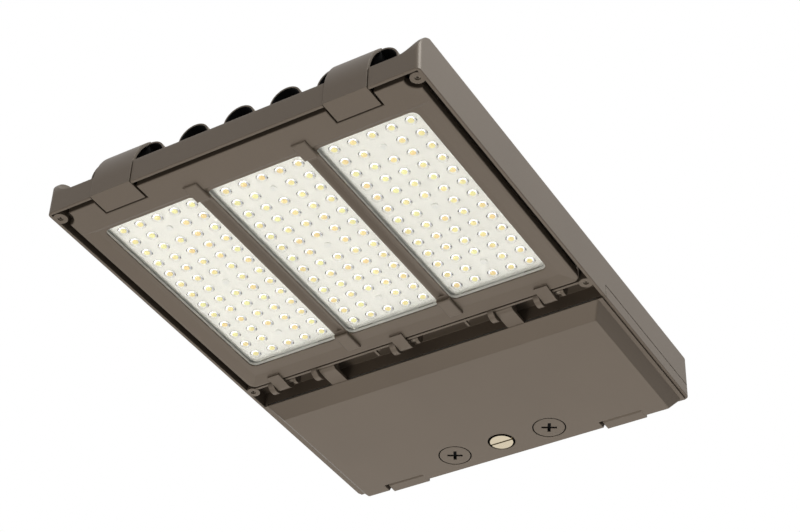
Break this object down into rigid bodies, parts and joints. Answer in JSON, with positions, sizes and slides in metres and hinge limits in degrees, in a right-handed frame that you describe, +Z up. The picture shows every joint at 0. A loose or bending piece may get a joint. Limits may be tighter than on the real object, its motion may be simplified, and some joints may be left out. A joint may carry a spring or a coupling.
{
  "type": "area light",
  "caption": "Slim outdoor LED area light: bronze cast housing with ridged cooling cover, hinged optical door, hinged driver door, front strap latches and quarter-turn fasteners.",
  "frame": {"origin": "centre of the rear mounting face, midway between the arm bolt holes and on the wire entry's axis", "axes": "+X to the light's right as seen from above with its front away from the arm, +Y towards the arm or pole, +Z up, so the lenses face -Z"},
  "size_m": [0.345, 0.4794, 0.068],
  "materials": {
    "bronze_cast": "satin",
    "bare_aluminium": "satin",
    "steel_hardware": "satin",
    "nickel": "satin",
    "lens_clear": "gloss",
    "board_white": "satin",
    "emitter_yellow": "satin",
    "seal_grey": "matte",
    "rubber_black": "matte",
    "pad_blue": "matte",
    "plastic_white": "satin",
    "gear_case": "satin"
  },
  "bodies": {
    "housing": {"main_housing": "bronze_cast", "mount_plate": "bronze_cast", "mount_plate_screws": "steel_hardware", "corner_screws": "steel_hardware", "fin_cover": "bronze_cast", "cover_screws": "steel_hardware", "heat_sink": "bare_aluminium", "sink_screws": "steel_hardware", "led_board_left": "board_white", "led_board_center": "board_white", "led_board_right": "board_white", "led_chips_left": "emitter_yellow", "led_chips_center": "emitter_yellow", "led_chips_right": "emitter_yellow", "thermal_pads": "pad_blue", "board_screws": "steel_hardware", "board_jumpers": "plastic_white", "hinge_pins": "steel_hardware", "latch_pin_left": "steel_hardware", "latch_pin_right": "steel_hardware", "gear_plate": "bare_aluminium", "gear_plate_screws": "steel_hardware", "led_driver": "gear_case", "surge_protector": "gear_case", "terminal_block": "plastic_white", "led_lead": "rubber_black", "lead_grommet": "rubber_black", "lead_connector": "plastic_white"},
    "led_door": {"led_door_frame": "bronze_cast", "lens_left": "lens_clear", "lens_center": "lens_clear", "lens_right": "lens_clear", "lens_seal_left": "seal_grey", "lens_seal_center": "seal_grey", "lens_seal_right": "seal_grey", "lens_clips": "steel_hardware", "door_seal": "seal_grey"},
    "driver_door": {"driver_door": "bronze_cast", "bay_seal": "seal_grey", "fastener_washers": "steel_hardware", "port_plug": "nickel", "plug_washer": "steel_hardware", "plug_nut": "steel_hardware"},
    "latch_left": {"latch_left": "bronze_cast"},
    "latch_right": {"latch_right": "bronze_cast"},
    "quarter_turn_left": {"quarter_turn_left": "bronze_cast"},
    "quarter_turn_right": {"quarter_turn_right": "bronze_cast"}
  },
  "joints": [
    {"name": "led_door_hinge", "type": "hinge", "parent": "housing", "child": "led_door", "pos_m": [0, -0.189, -0.0208], "axis": [1, 0, 0], "range_deg": [0, 80]},
    {"name": "driver_door_hinge", "type": "hinge", "parent": "housing", "child": "driver_door", "pos_m": [0, -0.189, -0.0208], "axis": [-1, 0, 0], "range_deg": [0, 45]},
    {"name": "latch_left_hinge", "type": "hinge", "parent": "housing", "child": "latch_left", "pos_m": [-0.109, -0.4564, 0.0246], "axis": [-1, 0, 0], "range_deg": [0, 80]},
    {"name": "latch_right_hinge", "type": "hinge", "parent": "housing", "child": "latch_right", "pos_m": [0.109, -0.4564, 0.0246], "axis": [-1, 0, 0], "range_deg": [0, 80]},
    {"name": "quarter_turn_left_spin", "type": "hinge", "parent": "driver_door", "child": "quarter_turn_left", "pos_m": [-0.0488, -0.0323, -0.03], "axis": [0, 0, -1], "range_deg": [0, 90]},
    {"name": "quarter_turn_right_spin", "type": "hinge", "parent": "driver_door", "child": "quarter_turn_right", "pos_m": [0.0488, -0.0323, -0.03], "axis": [0, 0, 1], "range_deg": [0, 90]}
  ]
}
